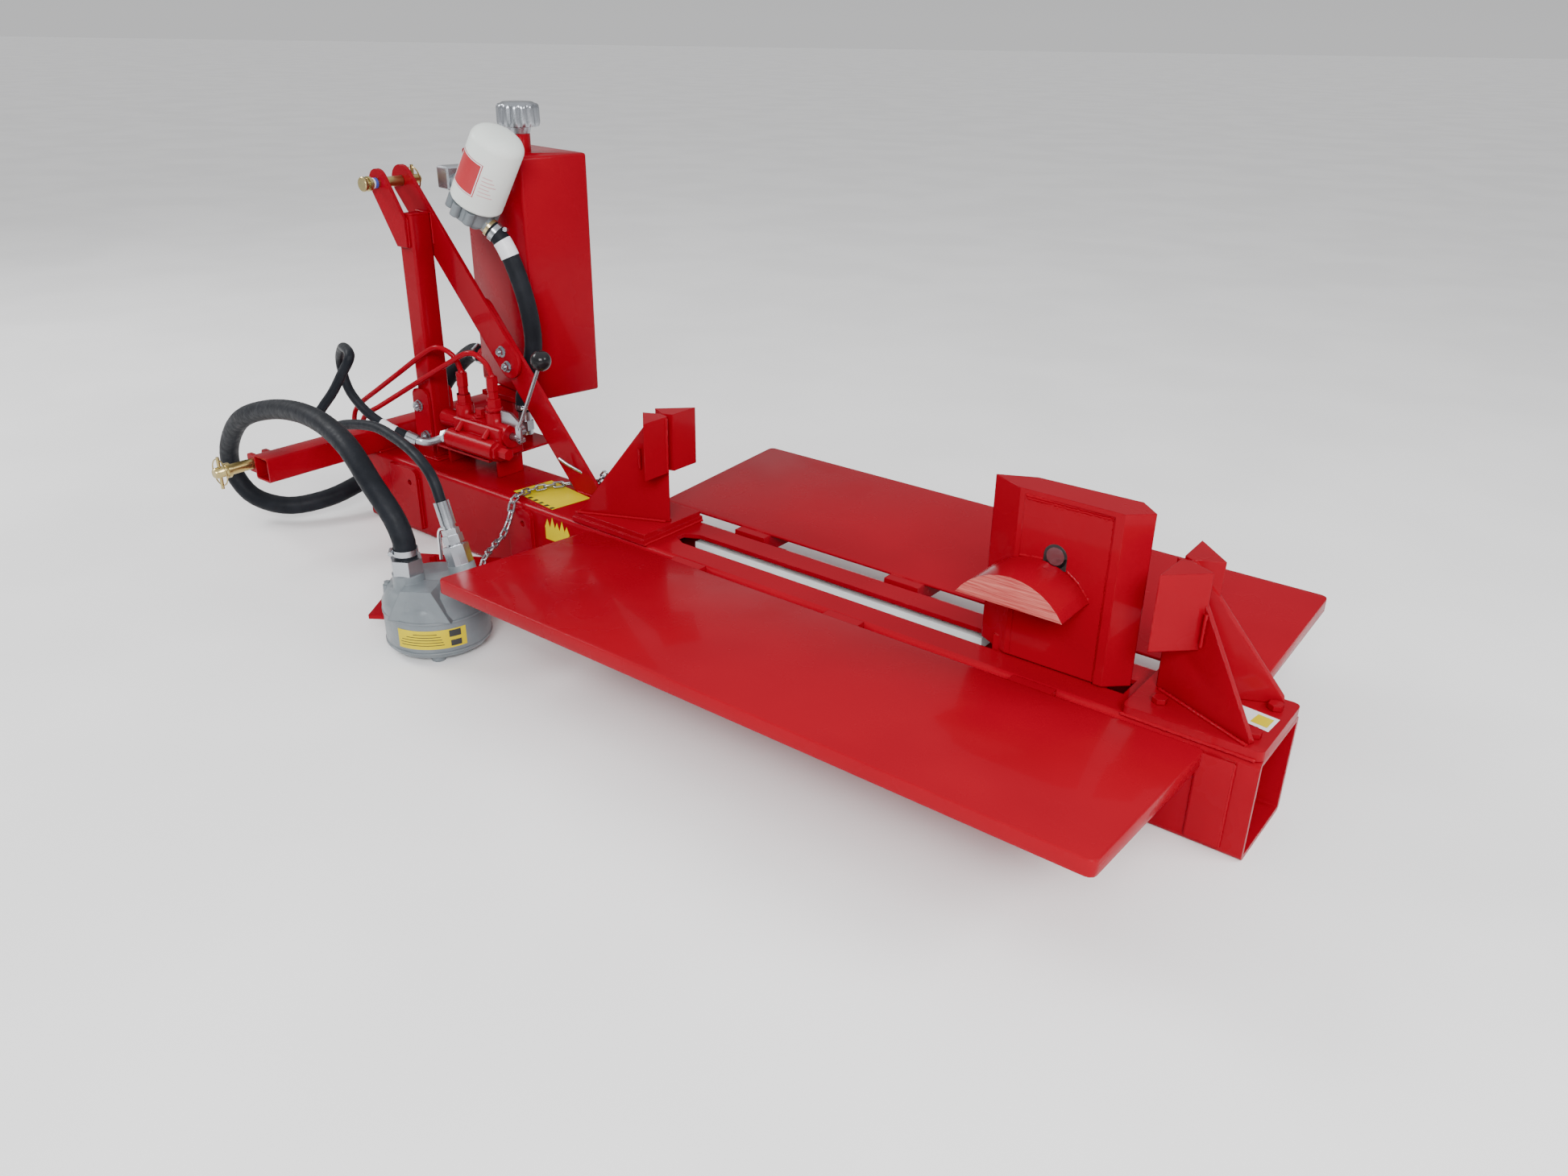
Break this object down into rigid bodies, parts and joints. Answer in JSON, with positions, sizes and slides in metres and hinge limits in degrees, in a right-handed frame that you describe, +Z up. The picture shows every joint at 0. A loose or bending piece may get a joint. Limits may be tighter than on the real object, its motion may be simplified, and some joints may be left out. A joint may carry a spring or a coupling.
{
  "type": "log splitter",
  "caption": "Tractor-mounted hydraulic log splitter: square beam, sliding two-way blade between fixed wedges, side tables, mast, oil tank, valve, pump and hoses.",
  "frame": {"origin": "on the beam's underside, on its centreline, 1.27 m from the beam's hitch end", "axes": "+X along the beam away from the tractor, +Y towards the oil tank, +Z up"},
  "size_m": [2.7497, 1.1367, 1.098],
  "materials": {
    "red_paint": "gloss",
    "zinc_plate": "satin zinc plate",
    "yellow_zinc": "yellow zinc plate",
    "grey_casting": "painted casting",
    "chrome": "polished",
    "white_paint": "gloss",
    "bare_steel": "machined",
    "black_hose": "matt",
    "black_plastic": "gloss"
  },
  "bodies": {
    "frame": {"beam_tube": "red_paint", "brace_bolt_lower": "zinc_plate", "brace_bolt_upper": "zinc_plate", "brace_lower": "red_paint", "brace_upper": "red_paint", "crossbar": "red_paint", "cylinder_anchor_pin": "bare_steel", "cylinder_barrel": "red_paint", "filter_head": "grey_casting", "filter_port_block": "zinc_plate", "left_wedge_base": "red_paint", "left_wedge_blades": "red_paint", "lever_bracket": "zinc_plate", "lower_linch_pin_far": "yellow_zinc", "lower_linch_pin_near": "yellow_zinc", "lower_link_pin_far": "yellow_zinc", "lower_link_pin_near": "yellow_zinc", "mast_bolt_lower": "zinc_plate", "mast_bolt_upper": "zinc_plate", "mast_cheek_near": "red_paint", "mast_foot": "red_paint", "mast_post": "red_paint", "oil_tank": "red_paint", "pressure_elbow": "zinc_plate", "pressure_hose": "black_hose", "pump_adapter": "zinc_plate", "pump_body": "grey_casting", "return_fitting": "zinc_plate", "return_hose": "black_hose", "right_wedge_base": "red_paint", "right_wedge_blades": "red_paint", "steel_tube_front": "red_paint", "steel_tube_rear": "red_paint", "suction_fitting": "zinc_plate", "suction_hose": "black_hose", "tank_stand": "red_paint", "tether_chain": "zinc_plate", "torque_plate": "red_paint", "valve_body": "red_paint", "valve_tray": "red_paint", "wedge_bolt_1": "red_paint", "wedge_bolt_2": "red_paint", "wedge_bolt_3": "red_paint", "wedge_bolt_4": "red_paint", "work_table_far": "red_paint", "work_table_near": "red_paint"},
    "carriage": {"splitting_blade": "red_paint", "side_wing_near": "red_paint", "side_wing_far": "red_paint", "cross_pin": "zinc_plate", "slide_shoe": "red_paint", "cylinder_rod": "chrome"},
    "lever": {"control_lever": "zinc_plate", "lever_knob": "black_plastic"},
    "spool": {"valve_spool": "zinc_plate"},
    "pump_hub": {"pump_hub": "bare_steel"},
    "breather_cap": {"breather_cap": "zinc_plate"},
    "filter_canister": {"filter_canister": "white_paint"},
    "top_pin": {"top_link_pin": "yellow_zinc", "top_linch_pin": "yellow_zinc"}
  },
  "joints": [
    {"name": "carriage_slide", "type": "slide", "parent": "frame", "child": "carriage", "axis": [1, 0, 0], "range_m": [-0.79, 0.02]},
    {"name": "lever_swing", "type": "hinge", "parent": "frame", "child": "lever", "pos_m": [-0.7, -0.01, 0.352], "axis": [0, 1, 0], "range_deg": [-15, 15], "stiffness_Nm_per_rad": 6},
    {"name": "spool_slide", "type": "slide", "parent": "frame", "child": "spool", "axis": [1, 0, 0], "range_m": [-0.0081, 0.0081]},
    {"name": "pump_hub_spin", "type": "hinge", "parent": "frame", "child": "pump_hub", "pos_m": [-0.5, -0.455, 0], "axis": [0, 0, 1], "continuous": true},
    {"name": "breather_cap_turn", "type": "hinge", "parent": "frame", "child": "breather_cap", "pos_m": [-0.87, 0.2, 1.03], "axis": [0, 0, 1], "continuous": true},
    {"name": "filter_canister_turn", "type": "hinge", "parent": "frame", "child": "filter_canister", "pos_m": [-0.845, 0.03, 0.882], "axis": [0.5288, 0.059, 0.8467], "continuous": true},
    {"name": "top_pin_turn", "type": "hinge", "parent": "frame", "child": "top_pin", "pos_m": [-1.138, 0, 0.905], "axis": [0, 1, 0], "continuous": true}
  ],
  "couplings": [
    {"joint": "spool_slide", "follows": "lever_swing", "m_per_rad": -0.03}
  ]
}
